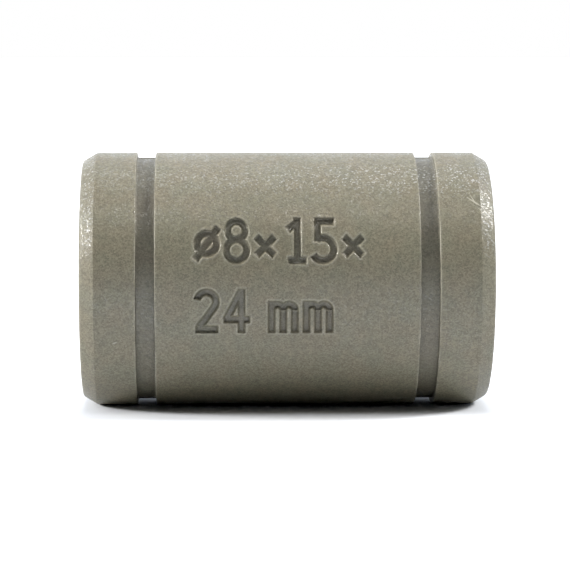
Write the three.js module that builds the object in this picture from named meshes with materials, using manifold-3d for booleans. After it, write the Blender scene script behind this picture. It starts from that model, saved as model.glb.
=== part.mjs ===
// Solid polymer linear bushing, made to the outside size of an 8 mm linear ball bearing.
//
// It is one moulding: a plain sleeve that slides on a round shaft, with no balls, cage or seals.
// The bore is split into lands by lengthwise slots, which carry dirt away from the shaft. Two
// grooves round the outside take retaining rings, and chamfered ends start the sleeve into its
// housing. A size mark, diameter of the bore x outside diameter x length, is sunk in the barrel.
//
// Millimetres. The bore runs along X, Z is up, and the origin is the middle of the bore.

import * as THREE from "three";
import { mergeVertices } from "three/addons/utils/BufferGeometryUtils.js";
import Module from "manifold-3d";

// Driving dimensions
const BORE_RADIUS = 4;
const OUTER_RADIUS = 7.5;
const LENGTH = 24;
const GROOVE_SPAN = 17.5; // between the outer walls of the two grooves
const GROOVE_WIDTH = 1.1;
const GROOVE_RADIUS = 7.15; // at the groove's floor
const END_CHAMFER = { along: 0.85, down: 0.5 };
const END_ROUND = 0.3; // where each end chamfer runs into its end face
const BORE_CHAMFER = 0.5;
const SLOT_COUNT = 8;
const SLOT_WIDTH = 1.2;
const SLOT_FLOOR_RADIUS = 5.3;
const SLOT_CORNER = 0.35;
const MARK_DEPTH = 0.25;
const MARK_SCALE = 0.95; // of the characters, from the sizes they are drawn at below
const MARK_STROKE = 0.42;
const MARK_HEIGHT = 2.7; // of a digit
const MARK_PITCH = 1.77; // from one character to the next
const MARK_WIDE_PITCH = 2.1; // from an m to what follows it
const MARK_LEFT = -5.4; // X where both rows start
const MARK_ROWS = [
  { characters: ["diameter", "8", "by", "1", "5", "by"], base: 1.43 },
  { characters: ["2", "4", "space", "m", "m"], base: -2.53 },
];

// Facets
const TURN_STEPS = 96;
const BOW_STEPS = 14;
const END_ROUND_STEPS = 3;
const SLOT_CORNER_STEPS = 3;

const CUT_PAST = 1; // how far a cutting tool runs past what it cuts
const HALF = LENGTH / 2;
const QUARTER_TURN = Math.PI / 2;

const wasm = await Module();
wasm.setup();

function toSolid(geometry) {
  const bare = geometry.index ? geometry.toNonIndexed() : geometry.clone();
  bare.deleteAttribute("normal");
  bare.deleteAttribute("uv");
  const merged = mergeVertices(bare, 1e-4);
  const mesh = new wasm.Mesh({
    numProp: 3,
    vertProperties: merged.attributes.position.array,
    triVerts: new Uint32Array(merged.index.array),
  });
  return new wasm.Manifold(mesh);
}

function toGeometry(solid) {
  const mesh = solid.getMesh();
  const geometry = new THREE.BufferGeometry();
  geometry.setAttribute("position", new THREE.BufferAttribute(mesh.vertProperties, 3));
  geometry.setIndex(new THREE.BufferAttribute(mesh.triVerts, 1));
  geometry.computeVertexNormals();
  return geometry;
}

function join(solids) {
  return solids.reduce((sum, solid) => sum.add(solid));
}

// The arc that rounds off the corner between two straight lines, as points.
function roundedCorner(before, corner, after, radius) {
  const toBefore = before.clone().sub(corner).normalize();
  const toAfter = after.clone().sub(corner).normalize();
  const halfAngle = Math.acos(toBefore.dot(toAfter)) / 2;
  const reach = radius / Math.tan(halfAngle);
  const bisector = toBefore.clone().add(toAfter).normalize();
  const centre = corner.clone().addScaledVector(bisector, radius / Math.sin(halfAngle));
  const first = corner.clone().addScaledVector(toBefore, reach).sub(centre);
  const last = corner.clone().addScaledVector(toAfter, reach).sub(centre);
  const sweep = Math.atan2(first.cross(last), first.dot(last));
  const origin = new THREE.Vector2();
  return Array.from({ length: END_ROUND_STEPS + 1 }, (_, i) =>
    first.clone().rotateAround(origin, (sweep * i) / END_ROUND_STEPS).add(centre),
  );
}

// The sleeve's section from the middle of its barrel to its bore, round the +X end.
// Each point is (distance from the axis, distance along it).
function endSection() {
  const grooveOuterWall = GROOVE_SPAN / 2;
  const grooveInnerWall = grooveOuterWall - GROOVE_WIDTH;
  const chamferTop = new THREE.Vector2(OUTER_RADIUS, HALF - END_CHAMFER.along);
  const chamferFoot = new THREE.Vector2(OUTER_RADIUS - END_CHAMFER.down, HALF);
  const faceInner = new THREE.Vector2(BORE_RADIUS + BORE_CHAMFER, HALF);
  return [
    new THREE.Vector2(OUTER_RADIUS, grooveInnerWall),
    new THREE.Vector2(GROOVE_RADIUS, grooveInnerWall),
    new THREE.Vector2(GROOVE_RADIUS, grooveOuterWall),
    new THREE.Vector2(OUTER_RADIUS, grooveOuterWall),
    chamferTop,
    ...roundedCorner(chamferTop, chamferFoot, faceInner, END_ROUND),
    faceInner,
    new THREE.Vector2(BORE_RADIUS, HALF - BORE_CHAMFER),
  ];
}

function turnedSleeve() {
  const plusEnd = endSection();
  const minusEnd = plusEnd.map((point) => new THREE.Vector2(point.x, -point.y)).reverse();
  const section = [...minusEnd, ...plusEnd, minusEnd[0]];
  return toSolid(new THREE.LatheGeometry(section, TURN_STEPS).rotateZ(-QUARTER_TURN));
}

// What one slot takes out: a band from inside the bore to a floor with rounded corners.
function slotTool(turn) {
  const side = SLOT_WIDTH / 2;
  const cornerX = SLOT_FLOOR_RADIUS - SLOT_CORNER;
  const cornerY = side - SLOT_CORNER;
  const section = new THREE.Shape();
  section.moveTo(BORE_RADIUS - CUT_PAST, side);
  section.lineTo(BORE_RADIUS - CUT_PAST, -side);
  section.absarc(cornerX, -cornerY, SLOT_CORNER, -QUARTER_TURN, 0);
  section.absarc(cornerX, cornerY, SLOT_CORNER, 0, QUARTER_TURN);
  const tool = new THREE.ExtrudeGeometry(section, {
    depth: LENGTH + 2 * CUT_PAST,
    curveSegments: SLOT_CORNER_STEPS,
    bevelEnabled: false,
  });
  tool.translate(0, 0, -HALF - CUT_PAST).rotateY(QUARTER_TURN).rotateX(turn);
  return toSolid(tool);
}

function slots() {
  const spacing = (2 * Math.PI) / SLOT_COUNT;
  return join(Array.from({ length: SLOT_COUNT }, (_, i) => slotTool((i + 0.5) * spacing)));
}

// A straight stroke of the mark, between two points of the X-Z plane.
function bar([x0, z0], [x1, z1]) {
  const run = new THREE.Vector2(x1 - x0, z1 - z0);
  const stroke = new THREE.BoxGeometry(run.length(), OUTER_RADIUS, MARK_STROKE);
  stroke.rotateY(-run.angle()).translate((x0 + x1) / 2, -OUTER_RADIUS, (z0 + z1) / 2);
  return toSolid(stroke);
}

// A curved stroke of the mark round a centre in the X-Z plane, between two angles in degrees.
function bow([x, z], radius, from = 0, to = 360) {
  const [start, end] = [from, to].map(THREE.MathUtils.degToRad);
  const outer = radius + MARK_STROKE / 2;
  const inner = radius - MARK_STROKE / 2;
  const band = new THREE.Shape();
  band.absarc(0, 0, outer, start, end, false);
  if (to - from < 360) {
    band.absarc(0, 0, inner, end, start, true);
  } else {
    band.holes.push(new THREE.Path().absarc(0, 0, inner, start, end, false));
  }
  const stroke = new THREE.ExtrudeGeometry(band, {
    depth: OUTER_RADIUS,
    curveSegments: BOW_STEPS,
    bevelEnabled: false,
  });
  stroke.rotateX(QUARTER_TURN).translate(x, -OUTER_RADIUS / 2, z);
  return toSolid(stroke);
}

// The mark's characters, each drawn from its own lower left corner.
const CHARACTERS = {
  1: () => [
    bar([0.95, 0], [0.95, MARK_HEIGHT]),
    bar([0.36, 2.0], [1.0, 2.47]),
    bar([0.4, 0.21], [1.5, 0.21]),
  ],
  2: () => [
    bow([0.78, 1.92], 0.57, -38, 165),
    bar([0.33, 0.33], [1.26, 1.6]),
    bar([0.12, 0.21], [1.46, 0.21]),
  ],
  4: () => [
    bar([1.12, 0], [1.12, MARK_HEIGHT]),
    bar([0.05, 0.82], [1.62, 0.82]),
    bar([0.2, 0.8], [1.08, 2.54]),
  ],
  5: () => [
    bar([0.24, 2.49], [1.42, 2.49]),
    bar([0.4, 1.32], [0.4, 2.5]),
    bow([0.72, 0.87], 0.66, -148, 122),
  ],
  8: () => [bow([0.82, 0.82], 0.61), bow([0.82, 1.97], 0.52)],
  m: () => [
    bar([0.28, 0], [0.28, 1.95]),
    bow([0.63, 1.39], 0.35, 0, 180),
    bar([0.98, 0], [0.98, 1.39]),
    bow([1.33, 1.39], 0.35, 0, 180),
    bar([1.68, 0], [1.68, 1.39]),
  ],
  by: () => [bar([0.25, 0.5], [1.35, 1.6]), bar([0.25, 1.6], [1.35, 0.5])],
  diameter: () => [bow([0.8, 1.2], 0.59), bar([0.1, 0.25], [1.5, 2.15])],
  space: () => [],
};

const PITCHES = { m: MARK_WIDE_PITCH, space: MARK_PITCH / 2 };

// What the mark takes out of the barrel: every stroke, down to an even depth below its skin.
function mark() {
  const strokes = MARK_ROWS.flatMap(({ characters, base }) => {
    let left = MARK_LEFT;
    return characters.flatMap((name) => {
      const placed = CHARACTERS[name]().map((stroke) =>
        stroke.scale([MARK_SCALE, 1, MARK_SCALE]).translate([left, 0, base]),
      );
      left += MARK_SCALE * (PITCHES[name] ?? MARK_PITCH);
      return placed;
    });
  });
  const coreRadius = OUTER_RADIUS - MARK_DEPTH;
  const core = new THREE.CylinderGeometry(coreRadius, coreRadius, LENGTH, TURN_STEPS);
  return join(strokes).subtract(toSolid(core.rotateZ(QUARTER_TURN)));
}

const polymer = new THREE.MeshStandardMaterial({
  color: new THREE.Color().setRGB(0.56, 0.545, 0.49, THREE.SRGBColorSpace),
  roughness: 0.55,
  metalness: 0,
});

const sleeve = turnedSleeve().subtract(slots()).subtract(mark());
const bushing = new THREE.Mesh(toGeometry(sleeve), polymer);
bushing.name = "bushing_sleeve";

const part = new THREE.Group();
part.add(bushing);

export default part;
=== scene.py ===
"""The looks of a moulded polymer linear bushing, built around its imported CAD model.

The bushing is one piece. Its visible skin is a closed grid of quads: the outside follows a
rounded section from end to end, the bore follows the lands and slots, and flat end faces join
them. The size mark is pressed into the grid from the distance to its strokes. Lengths in the
mesh code are millimetres in the CAD model's frame, and become metres when the mesh is made.
"""

import math

import bpy
import numpy as np
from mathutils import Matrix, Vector


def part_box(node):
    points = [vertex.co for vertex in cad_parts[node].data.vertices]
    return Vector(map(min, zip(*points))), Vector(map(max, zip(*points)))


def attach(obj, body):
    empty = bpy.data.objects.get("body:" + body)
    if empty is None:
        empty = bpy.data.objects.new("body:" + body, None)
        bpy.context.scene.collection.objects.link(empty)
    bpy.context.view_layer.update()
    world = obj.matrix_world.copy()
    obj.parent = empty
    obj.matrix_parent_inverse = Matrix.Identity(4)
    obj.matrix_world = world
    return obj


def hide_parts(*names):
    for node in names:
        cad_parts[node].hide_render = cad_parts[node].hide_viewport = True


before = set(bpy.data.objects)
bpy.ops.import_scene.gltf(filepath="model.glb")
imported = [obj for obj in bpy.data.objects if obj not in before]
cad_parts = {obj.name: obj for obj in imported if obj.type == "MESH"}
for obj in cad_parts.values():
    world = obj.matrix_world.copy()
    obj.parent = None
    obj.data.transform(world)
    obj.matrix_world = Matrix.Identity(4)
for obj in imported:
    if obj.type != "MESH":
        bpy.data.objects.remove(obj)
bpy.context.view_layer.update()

MM = 0.001
NODE = "bushing_sleeve"
LOW, HIGH = (np.array(corner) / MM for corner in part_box(NODE))

# The sleeve, with the CAD model's sizes
HALF = (HIGH[0] - LOW[0]) / 2
OUTER_RADIUS = (HIGH[2] - LOW[2]) / 2
BORE_RADIUS = 4.0
GROOVE_SPAN = 17.5
GROOVE_WIDTH = 1.1
GROOVE_RADIUS = 7.15
CHAMFER_ALONG = 0.85
CHAMFER_DOWN = 0.5
BORE_CHAMFER = 0.5
SLOT_COUNT = 8
SLOT_WIDTH = 1.2
SLOT_FLOOR_RADIUS = 5.3
SLOT_CORNER = 0.35

# What moulding does to its edges
FACE_ROUND = 0.3
CHAMFER_ROUND = 0.12
GROOVE_EDGE_ROUND = 0.05
GROOVE_FLOOR_ROUND = 0.08
LAND_EDGE_ROUND = 0.12
MOUTH_ROUND = 0.06
PARTING_WIDTH = 0.07
PARTING_HEIGHT = 0.012
FLASH_HEIGHT = 0.07

# The rims of the grooves, painted pale partly as wear and partly as a painted highlight, which
# wander a little in waves round the sleeve
RIM_WIDTH = 0.045
RIM_SUPPORT = 0.15
RIM_WAVES = (23, 37, 51, 68)
RIM_WANDER_ALONG = 0.012
RIM_WANDER_OUT = 0.004

# A point starts to count as in a groove at the first depth, and does so fully at the second
GROOVE_DEPTHS = (0.1, 0.25)

# The size mark, with the CAD model's sizes
MARK_DEPTH = 0.25
MARK_SCALE = 0.95
MARK_STROKE = 0.42
MARK_HEIGHT = 2.7
MARK_PITCH = 1.77
MARK_WIDE_PITCH = 2.1
MARK_LEFT = -5.4
MARK_ROWS = (
    (("diameter", "8", "by", "1", "5", "by"), 1.43),
    (("2", "4", "space", "m", "m"), -2.53),
)
MARK_MARGIN = 0.3
MARK_WALL_OUT = 0.05
MARK_WALL_IN = 0.09
MARK_LIP = 0.018
MARK_LIP_OUT = 0.03
MARK_LIP_WIDTH = 0.05
# How pale the mark's lips are painted, partly as wear and partly as a painted highlight
MARK_LIP_WEAR_AND_HIGHLIGHT = 0.5

# Spacing of the grid's lines
FINE = 0.054
COARSE = 0.34
COARSE_TURN = math.radians(2.5)
FACE_SUPPORT = 0.04
LAND_SUPPORT_TURN = 0.1
LAND_LINES = 5
FOOT_ON_CHAMFER = 0.04
FOOT_ON_LAND = 0.06
MOUTH_RINGS = 4
BORE_RINGS = 9
BORE_RING_MARGIN = 1.0
PARTING_LINES = (-1.5, -0.75, 0, 0.75, 1.5)


# ---------------------------------------------------------------- shapes in a plane


def unit(vector):
    return vector / np.linalg.norm(vector)


def rounded(corners, steps=4):
    """Points along a path through corners, each (x, y, radius of its rounding)."""
    path = [np.array(corners[0][:2])]
    for before, (x, y, radius), after in zip(corners, corners[1:], corners[2:]):
        corner = np.array((x, y))
        if not radius:
            path.append(corner)
            continue
        back = unit(np.array(before[:2]) - corner)
        ahead = unit(np.array(after[:2]) - corner)
        half_angle = math.acos(back @ ahead) / 2
        centre = corner + unit(back + ahead) * radius / math.sin(half_angle)
        first = corner + back * radius / math.tan(half_angle) - centre
        last = corner + ahead * radius / math.tan(half_angle) - centre
        sweep = math.atan2(first[0] * last[1] - first[1] * last[0], first @ last)
        for turn in np.linspace(0, sweep, steps + 1):
            c, s = math.cos(turn), math.sin(turn)
            path.append(centre + (c * first[0] - s * first[1], s * first[0] + c * first[1]))
    path.append(np.array(corners[-1][:2]))
    return np.array(path)


def filled_in(path, spacing):
    """The path with extra points on its long straight runs."""
    points = [path[:1]]
    for start, end in zip(path, path[1:]):
        count = max(1, math.ceil(np.linalg.norm(end - start) / spacing))
        points.append(np.linspace(start, end, count + 1)[1:])
    return np.concatenate(points)


# ---------------------------------------------------------------- the size mark


def bar(start, end):
    """Distance to a straight stroke with square ends, negative inside it."""
    start, end = np.array(start), np.array(end)
    along = unit(end - start)
    middle, reach = (start + end) / 2, np.linalg.norm(end - start) / 2

    def distance(x, z):
        dx, dz = x - middle[0], z - middle[1]
        past_end = np.abs(dx * along[0] + dz * along[1]) - reach
        past_side = np.abs(dz * along[0] - dx * along[1]) - MARK_STROKE / 2
        outside = np.hypot(np.maximum(past_end, 0), np.maximum(past_side, 0))
        return outside + np.minimum(np.maximum(past_end, past_side), 0)

    return distance


def bow(centre, radius, from_deg=0, to_deg=360):
    """Distance to a curved stroke between two angles, negative inside it."""
    middle = math.radians((from_deg + to_deg) / 2)
    half_sweep = math.radians((to_deg - from_deg) / 2)

    def distance(x, z):
        dx, dz = x - centre[0], z - centre[1]
        spoke = np.hypot(dx, dz)
        turn = np.arctan2(dz, dx) - middle
        turn = np.abs((turn + math.pi) % (2 * math.pi) - math.pi)
        past_side = np.abs(spoke - radius) - MARK_STROKE / 2
        past_end = spoke * np.sin(np.minimum(turn - half_sweep, math.pi / 2))
        off_line = np.abs(spoke * np.cos(turn - half_sweep) - radius) - MARK_STROKE / 2
        beyond = np.hypot(past_end, np.maximum(off_line, 0))
        return np.where(turn > half_sweep, beyond, past_side)

    return distance


# Each character's strokes, from its own lower left corner
CHARACTERS = {
    "1": [
        bar((0.95, 0), (0.95, MARK_HEIGHT)),
        bar((0.36, 2.0), (1.0, 2.47)),
        bar((0.4, 0.21), (1.5, 0.21)),
    ],
    "2": [
        bow((0.78, 1.92), 0.57, -38, 165),
        bar((0.33, 0.33), (1.26, 1.6)),
        bar((0.12, 0.21), (1.46, 0.21)),
    ],
    "4": [
        bar((1.12, 0), (1.12, MARK_HEIGHT)),
        bar((0.05, 0.82), (1.62, 0.82)),
        bar((0.2, 0.8), (1.08, 2.54)),
    ],
    "5": [
        bar((0.24, 2.49), (1.42, 2.49)),
        bar((0.4, 1.32), (0.4, 2.5)),
        bow((0.72, 0.87), 0.66, -148, 122),
    ],
    "8": [bow((0.82, 0.82), 0.61), bow((0.82, 1.97), 0.52)],
    "m": [
        bar((0.28, 0), (0.28, 1.95)),
        bow((0.63, 1.39), 0.35, 0, 180),
        bar((0.98, 0), (0.98, 1.39)),
        bow((1.33, 1.39), 0.35, 0, 180),
        bar((1.68, 0), (1.68, 1.39)),
    ],
    "by": [bar((0.25, 0.5), (1.35, 1.6)), bar((0.25, 1.6), (1.35, 0.5))],
    "diameter": [bow((0.8, 1.2), 0.59), bar((0.1, 0.25), (1.5, 2.15))],
    "space": [],
}
PITCHES = {"m": MARK_WIDE_PITCH, "space": MARK_PITCH / 2}


def mark_distance(x, z):
    """Distance from points of the barrel's front to the nearest stroke, negative inside one."""
    nearest = np.full(np.broadcast(x, z).shape, MARK_STROKE)
    for characters, base in MARK_ROWS:
        left = MARK_LEFT
        for name in characters:
            across, up = (x - left) / MARK_SCALE, (z - base) / MARK_SCALE
            for stroke in CHARACTERS[name]:
                nearest = np.minimum(nearest, stroke(across, up))
            left += MARK_SCALE * PITCHES.get(name, MARK_PITCH)
    return nearest * MARK_SCALE


def row_width(characters):
    return MARK_SCALE * sum(PITCHES.get(name, MARK_PITCH) for name in characters)


MARK_RIGHT = MARK_LEFT + max(row_width(characters) for characters, _ in MARK_ROWS)
MARK_TOP = max(base for _, base in MARK_ROWS) + MARK_SCALE * MARK_HEIGHT
MARK_BOTTOM = min(base for _, base in MARK_ROWS)
WINDOW_LEFT = MARK_LEFT - MARK_MARGIN
WINDOW_RIGHT = MARK_RIGHT + MARK_MARGIN


# ---------------------------------------------------------------- lines of the grid


def end_section(start):
    """The outside from a place on the barrel, on and past a groove, to an end face."""
    outer_wall = GROOVE_SPAN / 2
    inner_wall = outer_wall - GROOVE_WIDTH
    corners = [
        (start, OUTER_RADIUS, 0),
        (inner_wall - RIM_SUPPORT, OUTER_RADIUS, 0),
        (inner_wall, OUTER_RADIUS, GROOVE_EDGE_ROUND),
        (inner_wall, GROOVE_RADIUS, GROOVE_FLOOR_ROUND),
        (outer_wall, GROOVE_RADIUS, GROOVE_FLOOR_ROUND),
        (outer_wall, OUTER_RADIUS, GROOVE_EDGE_ROUND),
        (outer_wall + RIM_SUPPORT, OUTER_RADIUS, 0),
        (HALF - CHAMFER_ALONG, OUTER_RADIUS, CHAMFER_ROUND),
        (HALF, OUTER_RADIUS - CHAMFER_DOWN, FACE_ROUND),
        (HALF, OUTER_RADIUS - CHAMFER_DOWN - 2 * FACE_ROUND, 0),
    ]
    return filled_in(rounded(corners), COARSE)


def outer_section():
    """The outside from the -X face to the +X face, as (x, radius) points."""
    window = np.arange(WINDOW_LEFT, WINDOW_RIGHT, FINE)
    barrel = np.column_stack((window, np.full(len(window), OUTER_RADIUS)))
    minus_end = end_section(FINE - window[0])[::-1] * (-1, 1)
    plus_end = end_section(window[-1] + FINE)
    return np.concatenate((minus_end, barrel, plus_end))


def outer_turns():
    """Angles of the outside's lengthwise lines, from the bottom round past the front."""
    low = math.asin((MARK_BOTTOM - MARK_MARGIN) / OUTER_RADIUS)
    high = math.asin((MARK_TOP + MARK_MARGIN) / OUTER_RADIUS)
    front = np.arange(low, high, FINE / OUTER_RADIUS)
    count = math.ceil((2 * math.pi + low - high) / COARSE_TURN)
    rest = np.linspace(front[-1], low + 2 * math.pi, count + 1)[1:-1]
    ridge = np.array(PARTING_LINES) * PARTING_WIDTH / OUTER_RADIUS
    top, bottom = math.pi / 2 + ridge, 3 * math.pi / 2 + ridge
    clear = [t for t in rest if min(abs(t - top).min(), abs(t - bottom).min()) > COARSE_TURN / 4]
    return np.sort(np.concatenate((front, clear, top, bottom)))


def bore_section(radius, spread):
    """The bore's outline as (y, z) points: lands of this radius, and slots spread this far."""
    side = SLOT_WIDTH / 2 + spread
    floor = SLOT_FLOOR_RADIUS + spread
    sector = 2 * math.pi / SLOT_COUNT
    land_end = math.asin(side / radius)
    support = land_end + LAND_SUPPORT_TURN
    slot = rounded(
        [
            (radius * math.cos(support), -radius * math.sin(support), 0),
            (radius * math.cos(land_end), -side, LAND_EDGE_ROUND),
            (floor, -side, SLOT_CORNER + spread),
            (floor, side, SLOT_CORNER + spread),
            (radius * math.cos(land_end), side, LAND_EDGE_ROUND),
            (radius * math.cos(support), radius * math.sin(support), 0),
        ],
        steps=3,
    )
    land_turns = np.linspace(support, sector - support, LAND_LINES)[1:-1]
    land = radius * np.column_stack((np.cos(land_turns), np.sin(land_turns)))
    piece = np.concatenate((slot, land))
    outline = []
    for i in range(SLOT_COUNT):
        turn = (i + 0.5) * sector
        c, s = math.cos(turn), math.sin(turn)
        outline.append(piece @ np.array(((c, s), (-s, c))))
    return np.concatenate(outline)


def bore_stations():
    """(x, land radius, slot spread) of each ring of the bore, from the +X face to the -X face."""
    mouth = [(HALF, BORE_RADIUS + BORE_CHAMFER + MOUTH_ROUND, MOUTH_ROUND + FACE_SUPPORT)]
    for turn in np.linspace(0, math.pi / 2, MOUTH_RINGS):
        x = HALF - MOUTH_ROUND * (1 - math.cos(turn))
        spread = MOUTH_ROUND * (1 - math.sin(turn))
        mouth.append((x, BORE_RADIUS + BORE_CHAMFER - (HALF - x) + spread / 2, spread))
    chamfer_foot = HALF - BORE_CHAMFER
    mouth.append((chamfer_foot + FOOT_ON_CHAMFER, BORE_RADIUS + FOOT_ON_CHAMFER, 0))
    mouth.append((chamfer_foot - FOOT_ON_LAND, BORE_RADIUS, 0))
    last = chamfer_foot - BORE_RING_MARGIN
    middle = [(x, BORE_RADIUS, 0) for x in np.linspace(last, -last, BORE_RINGS)]
    far_mouth = [(-x, radius, spread) for x, radius, spread in reversed(mouth)]
    return mouth + middle + far_mouth


# ---------------------------------------------------------------- the skin


def smooth_step(value):
    """0 up to value 0, 1 from value 1 on, and a smooth rise between."""
    value = np.clip(value, 0, 1)
    return value * value * (3 - 2 * value)


def bump_at(value, centre, width):
    """1 where the value is at the centre, falling smoothly to 0 on both sides."""
    return np.exp(-(((value - centre) / width) ** 2))


def ripple(turns, waves, seed):
    """An even wander round the sleeve, between about -1 and 1."""
    draw = np.random.default_rng(seed)
    total = np.zeros_like(turns)
    for wave in waves:
        total += np.sin(wave * turns + draw.uniform(0, 2 * math.pi))
    return total / math.sqrt(len(waves))


def outer_skin():
    """The outside's grid of points, its lines' angles, and how much is rim and recess."""
    section, turns = outer_section(), outer_turns()
    x, radius = (np.tile(column[:, None], len(turns)) for column in section.T)
    turn = np.tile(turns, (len(section), 1))
    # The end chamfers go as deep as the grooves, and are left out
    near_groove = np.abs(x) < GROOVE_SPAN / 2 + RIM_SUPPORT
    start, full = GROOVE_DEPTHS
    in_groove = smooth_step((OUTER_RADIUS - radius - start) / (full - start)) * near_groove
    rim = np.zeros_like(x)
    for number, wall in enumerate((GROOVE_SPAN / 2, GROOVE_SPAN / 2 - GROOVE_WIDTH)):
        for end in (-1, 1):
            near = bump_at(np.hypot(x - end * wall, radius - OUTER_RADIUS), 0, RIM_WIDTH)
            wander = ripple(turn, RIM_WAVES, seed=10 * number + end + 5)
            x = x + RIM_WANDER_ALONG * wander * near
            radius = radius + RIM_WANDER_OUT * wander * near
            rim = np.maximum(rim, near)
    seam = np.zeros_like(x)
    for place in (math.pi / 2, 3 * math.pi / 2):
        seam += bump_at(turn, place, PARTING_WIDTH / OUTER_RADIUS)
    # The ridge is left off the bottom, which the sleeve rests on
    ridged = (np.abs(x) < HALF - CHAMFER_ALONG) & (np.sin(turn) > 0)
    radius = radius + seam * np.where(in_groove > 0.5, FLASH_HEIGHT, PARTING_HEIGHT * ridged)
    y, z = -radius * np.cos(turn), radius * np.sin(turn)
    distance = mark_distance(x, z)
    on_front = (np.cos(turn) > 0) & (x > WINDOW_LEFT) & (x < WINDOW_RIGHT)
    distance = np.where(on_front, distance, MARK_STROKE)
    sunk = smooth_step((MARK_WALL_OUT - distance) / (MARK_WALL_OUT + MARK_WALL_IN))
    lip = bump_at(distance, MARK_WALL_OUT + MARK_LIP_OUT, MARK_LIP_WIDTH) * on_front
    pressed = radius - MARK_DEPTH * sunk + MARK_LIP * lip
    y = np.where(on_front, -np.sqrt(np.maximum(pressed**2 - z**2, 0)), y)
    # The mark's lips count as rim too: painted pale partly as wear and partly as a painted
    # highlight
    rim = np.maximum(rim, MARK_LIP_WEAR_AND_HIGHLIGHT * lip)
    # How much painted shade each point gets: groove floors and the mark's pressed floors are
    # darkened in the material
    recess = np.maximum(in_groove, sunk)
    return np.stack((x, y, z), axis=-1), turns, rim, recess


def bore_skin():
    """The bore's grid of points, ring by ring from the +X face, and its lines' angles."""
    rings = []
    for x, radius, spread in bore_stations():
        outline = bore_section(radius, spread)
        rings.append(np.column_stack((np.full(len(outline), x), outline)))
    rings = np.array(rings)
    turns = np.arctan2(rings[0, :, 2], -rings[0, :, 1])
    order = np.argsort(turns)
    return rings[:, order], turns[order]


def grid_faces(rows, columns, first):
    """Quads of a grid that closes on itself across its columns."""
    row = np.arange(rows - 1)[:, None] * columns
    column = np.arange(columns)
    beside = (column + 1) % columns
    quads = np.stack(
        (row + column, row + columns + column, row + columns + beside, row + beside), axis=-1
    )
    return (quads.reshape(-1, 4) + first).tolist()


def joining_faces(loop, turns, next_loop, next_turns):
    """Triangles between two rings of one flat face, taken in step round the axis."""
    start = np.argmin(turns % (2 * math.pi))
    next_start = np.argmin(next_turns % (2 * math.pi))
    a = np.roll(loop, -start)
    b = np.roll(next_loop, -next_start)
    a_turns = np.sort(turns % (2 * math.pi))
    b_turns = np.sort(next_turns % (2 * math.pi))
    a_turns = np.append(a_turns, a_turns[0] + 2 * math.pi)
    b_turns = np.append(b_turns, b_turns[0] + 2 * math.pi)
    i = j = 0
    faces = []
    while i < len(a) or j < len(b):
        here, there = int(a[i % len(a)]), int(b[j % len(b)])
        if j == len(b) or (i < len(a) and a_turns[i + 1] < b_turns[j + 1]):
            i += 1
            faces.append((here, there, int(a[i % len(a)])))
        else:
            j += 1
            faces.append((here, there, int(b[j % len(b)])))
    return faces


def make_bushing():
    outside, turns, rim, recess = outer_skin()
    bore, bore_turns = bore_skin()
    rows, columns = outside.shape[:2]
    bore_rows, bore_columns = bore.shape[:2]
    count = rows * columns
    points = np.concatenate((outside.reshape(-1, 3), bore.reshape(-1, 3))) * MM
    faces = grid_faces(rows, columns, 0) + grid_faces(bore_rows, bore_columns, count)
    minus_ring = np.arange(columns)
    plus_ring = minus_ring + (rows - 1) * columns
    plus_bore = np.arange(bore_columns) + count
    minus_bore = plus_bore + (bore_rows - 1) * bore_columns
    faces += joining_faces(plus_ring, turns, plus_bore, bore_turns)
    faces += joining_faces(minus_bore, bore_turns, minus_ring, turns)
    mesh = bpy.data.meshes.new("bushing")
    mesh.from_pydata(points.tolist(), [], faces)
    mesh.validate()
    for name, outside_values in (("rim", rim), ("recess", recess)):
        values = np.concatenate((outside_values.ravel(), np.zeros(bore_rows * bore_columns)))
        mesh.attributes.new(name, "FLOAT", "POINT").data.foreach_set("value", values)
    mesh.shade_smooth()
    bushing = bpy.data.objects.new("bushing", mesh)
    bpy.context.scene.collection.objects.link(bushing)
    return bushing


# ---------------------------------------------------------------- materials

WARM = (0.160, 0.142, 0.096, 1)
GREEN = (0.149, 0.141, 0.096, 1)
PALE = (0.42, 0.40, 0.33, 1)
# Painted shade colour for the groove and mark floors, and below it the share of painted shade
PAINTED_SHADE = (0.055, 0.054, 0.052, 1)
# Colour of the painted glints
PAINTED_GLINT_COLOUR = (0.41, 0.41, 0.395, 1)
RECESS_PAINTED_SHADE = 0.32
CLOUD_CONTRAST = 0.06
SPECK_CONTRAST = 0.28
SOFT_BUMP = 0.01
HARD_BUMP = 0.03

# Most of a noise's values lie in this range
NOISE_RANGE = (0.35, 0.65)

# The polymer's patterns, from broad to fine (millimetres)
POLISH_SIZE = 3.0
TINT_SIZE = 1.5
RIM_PATCH_SIZE = 0.9
CLOUD_SIZE = 0.5
SKIN_SIZE = 0.13
GLINT_SIZE = 0.095
SPECK_SIZE = 0.075

# Painted glints, silvery specks where the lamps' highlights fall, fade in over the first range of
# heights and partly out over the second. Their share grows from the -X end to the +X end, and the
# end chamfers carry some lower down as well.
GLINTS_IN = (4.8, 6.0)
GLINTS_OUT = (6.6, 7.0)
GLINTS_AT_TOP = 0.35
GLINTS_AT_ENDS = (0.25, 0.8)
CHAMFER_GLINTS = 0.7
CHAMFER_GLINTS_ALONG = (11.1, 11.3)
CHAMFER_GLINTS_UP = (1.5, 3.0)
FACE_WITHOUT_GLINTS = (11.85, 11.98)

# Scuffs fade in towards the front from the first of these y to the second
SCUFFS_FADE = (-0.5, -1.0)
# Each scuff: middle (x, z), slope in degrees, length, width (millimetres), strength
SCUFFS = (
    ((10.85, 4.85), -32, 1.1, 0.09, 1.0),
    ((10.75, 5.0), -58, 0.7, 0.07, 0.9),
    ((11.25, 4.3), -46, 0.9, 0.05, 0.7),
    ((10.2, 5.5), -24, 1.0, 0.04, 0.5),
    ((-9.95, -3.15), 20, 0.3, 0.1, 0.7),
)


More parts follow.
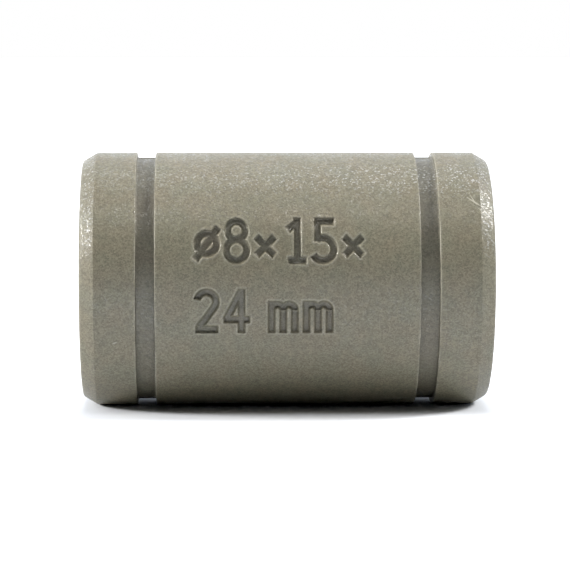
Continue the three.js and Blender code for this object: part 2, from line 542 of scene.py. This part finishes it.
def node(tree, kind, settings=None, **inputs):
    """A new shader node. An input is a value, or another node's output to link.

    An input is named, or numbered as _0, _1 and so on where names repeat.
    """
    made = tree.nodes.new(kind)
    for name, value in (settings or {}).items():
        setattr(made, name, value)
    for name, value in inputs.items():
        numbered = name[0] == "_"
        socket = made.inputs[int(name[1:]) if numbered else name.replace("_", " ")]
        if isinstance(value, bpy.types.NodeSocket):
            tree.links.new(value, socket)
        else:
            socket.default_value = value
    return made


def empty_material(name):
    material = bpy.data.materials.new(name)
    material.use_nodes = True
    material.node_tree.nodes.clear()
    return material, material.node_tree


def blend_colours(tree, amount, first, second):
    mix = node(tree, "ShaderNodeMix", {"data_type": "RGBA"}, _0=amount, _6=first, _7=second)
    return mix.outputs[2]


def fit(tree, value, low, high, out_low, out_high):
    """The value carried from one range to another, and held at its ends."""
    mapped = node(
        tree, "ShaderNodeMapRange", Value=value,
        From_Min=low, From_Max=high, To_Min=out_low, To_Max=out_high,
    )
    return mapped.outputs["Result"]


def noise(tree, place, size, roughness=0.5):
    """Noise with features of about this size in millimetres."""
    made = node(
        tree, "ShaderNodeTexNoise", Vector=place,
        Scale=1 / (size * MM), Detail=2, Roughness=roughness,
    )
    return made.outputs["Fac"]


def specks(tree, place, size):
    """Unrelated random values for each speck of about this size in millimetres."""
    cells = node(tree, "ShaderNodeTexVoronoi", Vector=place, Scale=1 / (size * MM))
    return node(tree, "ShaderNodeSeparateColor", Color=cells.outputs["Color"]).outputs


def maths(tree, operation, *values):
    inputs = {f"_{number}": value for number, value in enumerate(values)}
    return node(tree, "ShaderNodeMath", {"operation": operation}, **inputs).outputs[0]


def product(tree, first, *others):
    for other in others:
        first = maths(tree, "MULTIPLY", first, other)
    return first


def scaled(tree, colour, amount):
    made = node(tree, "ShaderNodeVectorMath", {"operation": "SCALE"}, _0=colour, Scale=amount)
    return made.outputs[0]


def axes_of(tree, vector):
    return node(tree, "ShaderNodeSeparateXYZ", Vector=vector).outputs


def scuffed(tree, place, colour):
    """The colour with short pale scuffs, on the front half only."""
    start, full = SCUFFS_FADE
    front = fit(tree, axes_of(tree, place)["Y"], start * MM, full * MM, 0, 1)
    for (x, z), slope, length, width, strength in SCUFFS:
        along = node(
            tree, "ShaderNodeMapping", {"vector_type": "TEXTURE"}, Vector=place,
            Location=(x * MM, 0, z * MM), Rotation=(0, math.radians(-slope), 0),
        )
        offset = axes_of(tree, along.outputs[0])
        inside = front
        for axis, reach in (("X", length / 2), ("Z", width / 2)):
            near = fit(tree, maths(tree, "ABSOLUTE", offset[axis]), reach * MM, 0, 0, 1)
            inside = product(tree, near, inside)
        amount = product(tree, maths(tree, "SQRT", inside), strength)
        colour = blend_colours(tree, amount, colour, PALE)
    return colour


def painted_glints(tree, place, colour):
    """The colour with painted glints: silvery specks painted high on the outside and on the end
    chamfers, where the lamps' highlights fall.
    """
    axes = axes_of(tree, place)
    from_middle = maths(tree, "ABSOLUTE", axes["X"])

    def ramp(value, span, first, last):
        return fit(tree, value, span[0] * MM, span[1] * MM, first, last)

    on_side = product(
        tree,
        ramp(axes["Z"], GLINTS_IN, 0, 1),
        ramp(axes["Z"], GLINTS_OUT, 1, GLINTS_AT_TOP),
        ramp(axes["X"], (-HALF, HALF), *GLINTS_AT_ENDS),
    )
    on_chamfer = product(
        tree,
        ramp(from_middle, CHAMFER_GLINTS_ALONG, 0, CHAMFER_GLINTS),
        ramp(axes["Z"], CHAMFER_GLINTS_UP, 0, 1),
    )
    most = maths(tree, "MAXIMUM", on_side, on_chamfer)
    off_face = ramp(from_middle, FACE_WITHOUT_GLINTS, 1, 0)
    glint = fit(tree, specks(tree, place, GLINT_SIZE)["Blue"], 0.78, 0.95, 0, 1)
    return blend_colours(tree, product(tree, most, off_face, glint), colour, PAINTED_GLINT_COLOUR)


def polymer_material():
    material, tree = empty_material("polymer")
    place = node(tree, "ShaderNodeTexCoord").outputs["Object"]
    tint = noise(tree, place, TINT_SIZE)
    cloud = noise(tree, place, CLOUD_SIZE)
    skin = noise(tree, place, SKIN_SIZE, roughness=0.6)
    speck = specks(tree, place, SPECK_SIZE)
    colour = blend_colours(tree, fit(tree, tint, *NOISE_RANGE, 0, 1), WARM, GREEN)
    shade = fit(tree, cloud, 0.3, 0.7, 1 - CLOUD_CONTRAST, 1 + CLOUD_CONTRAST)
    grain = fit(tree, speck["Red"], 0, 1, 1 - SPECK_CONTRAST, 1 + SPECK_CONTRAST)
    colour = scaled(tree, scaled(tree, colour, shade), grain)
    rim = node(tree, "ShaderNodeAttribute", {"attribute_name": "rim"}).outputs["Fac"]
    recess = node(tree, "ShaderNodeAttribute", {"attribute_name": "recess"}).outputs["Fac"]
    # Painted highlight and wear: groove rims and the mark's lips are lightened in patches towards
    # the pale colour
    rim_patches = fit(tree, noise(tree, place, RIM_PATCH_SIZE), *NOISE_RANGE, 0.2, 0.9)
    worn_and_highlit = product(tree, rim, rim_patches, fit(tree, skin, 0.35, 0.6, 0.4, 1))
    # Painted shade: groove floors and the mark's pressed floors are darkened towards the painted
    # shade colour
    colour = blend_colours(tree, product(tree, recess, RECESS_PAINTED_SHADE), colour, PAINTED_SHADE)
    colour = blend_colours(tree, worn_and_highlit, colour, PALE)
    colour = scuffed(tree, place, colour)
    # Painted glints: silvery specks high on the outside and on the end chamfers, where the
    # highlights fall
    colour = painted_glints(tree, place, colour)
    sparkle = fit(tree, speck["Green"], 0.7, 1, 0.15, 1.2)
    polish = fit(tree, noise(tree, place, POLISH_SIZE), *NOISE_RANGE, 0.6, 1.2)
    soft_bump = node(tree, "ShaderNodeBump", Distance=SOFT_BUMP * MM, Height=cloud)
    hard_bump = node(tree, "ShaderNodeBump", Distance=HARD_BUMP * MM, Height=skin)
    shader = node(
        tree, "ShaderNodeBsdfPrincipled", Base_Color=colour, Roughness=0.6,
        Normal=soft_bump.outputs["Normal"],
        Coat_Weight=product(tree, sparkle, polish), Coat_Roughness=0.2,
        Coat_Normal=hard_bump.outputs["Normal"],
    )
    node(tree, "ShaderNodeOutputMaterial", Surface=shader.outputs["BSDF"])
    return material


def floor_material():
    material, tree = empty_material("floor")
    shader = node(tree, "ShaderNodeBsdfDiffuse", Color=(0.85, 0.88, 0.95, 1))
    node(tree, "ShaderNodeOutputMaterial", Surface=shader.outputs["BSDF"])
    return material


# ---------------------------------------------------------------- the studio

# Distances in metres, bearings and heights in degrees, lens and sensor in millimetres
FLOOR_SIZE = 6.0
CAMERA_LENS = 177.3
CAMERA_SENSOR = 36
CAMERA_CLIP = (0.005, 20)
CAMERA_DISTANCE = 0.168
CAMERA_BEARING = -1.48
CAMERA_HEIGHT = 5.0
CAMERA_TARGET = Vector((0.02, 0.0, -0.415)) * MM

LAMP_WARMTH = (1.0, 0.98, 0.93)
# Each lamp: bearing from the front, height, strength, width (angles in degrees)
LAMPS = {
    "left": (-86, 24, 1.05, 12),
    "high_left": (-97, 38, 0.34, 34),
    "high_right": (95, 42, 1.0, 15),
    "overhead": (180, 75, 0.1, 20),
    "front": (0, 68, 0.25, 20),
}
SKY_COLOUR = (0.87, 0.92, 1.0, 1)
SKY_BACK = 1.5
SKY_RISE = 0.4


def heading(bearing, height):
    """Unit vector towards a bearing (0 is the front, 90 the right) and a height, in degrees."""
    bearing, height = math.radians(bearing), math.radians(height)
    level = math.cos(height)
    return Vector((math.sin(bearing) * level, -math.cos(bearing) * level, math.sin(height)))


def add_floor():
    size = FLOOR_SIZE / 2
    z = LOW[2] * MM
    mesh = bpy.data.meshes.new("floor")
    corners = [(-size, -size, z), (size, -size, z), (size, size, z), (-size, size, z)]
    mesh.from_pydata(corners, [], [(0, 1, 2, 3)])
    mesh.materials.append(floor_material())
    floor = bpy.data.objects.new("floor", mesh)
    bpy.context.scene.collection.objects.link(floor)


def add_camera():
    back = heading(CAMERA_BEARING, CAMERA_HEIGHT)
    data = bpy.data.cameras.new("camera")
    data.lens = CAMERA_LENS
    data.sensor_width = CAMERA_SENSOR
    data.clip_start, data.clip_end = CAMERA_CLIP
    camera = bpy.data.objects.new("camera", data)
    camera.location = CAMERA_TARGET + back * CAMERA_DISTANCE
    camera.rotation_euler = back.to_track_quat("Z", "Y").to_euler()
    bpy.context.scene.collection.objects.link(camera)
    bpy.context.scene.camera = camera


def add_lamps():
    """Soft lights from far off. One of strength 1 makes a white surface facing it white."""
    for name, (bearing, height, strength, width) in LAMPS.items():
        data = bpy.data.lights.new(name, "SUN")
        data.energy = strength * math.pi
        data.angle = math.radians(width)
        data.color = LAMP_WARMTH
        lamp = bpy.data.objects.new(name, data)
        lamp.rotation_euler = heading(bearing, height).to_track_quat("Z", "Y").to_euler()
        bpy.context.scene.collection.objects.link(lamp)


def add_sky():
    """A bright sky behind the object, dark in front; the camera sees plain white."""
    world = bpy.data.worlds.new("studio")
    bpy.context.scene.world = world
    world.use_nodes = True
    tree = world.node_tree
    tree.nodes.clear()
    direction = node(tree, "ShaderNodeTexCoord").outputs["Generated"]
    strength = fit(tree, axes_of(tree, direction)["Y"], 0, SKY_RISE, 0, SKY_BACK)
    light = node(tree, "ShaderNodeBackground", Color=SKY_COLOUR, Strength=strength)
    seen = node(tree, "ShaderNodeBackground", Color=(1, 1, 1, 1), Strength=1.0)
    camera_ray = node(tree, "ShaderNodeLightPath").outputs["Is Camera Ray"]
    mixed = node(
        tree, "ShaderNodeMixShader", _0=camera_ray, _1=light.outputs[0], _2=seen.outputs[0]
    )
    node(tree, "ShaderNodeOutputWorld", Surface=mixed.outputs[0])


bpy.context.scene.view_settings.view_transform = "Standard"
add_camera()
add_floor()
add_lamps()
add_sky()

bushing = make_bushing()
bushing.data.materials.append(polymer_material())
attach(bushing, "root")
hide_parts(NODE)
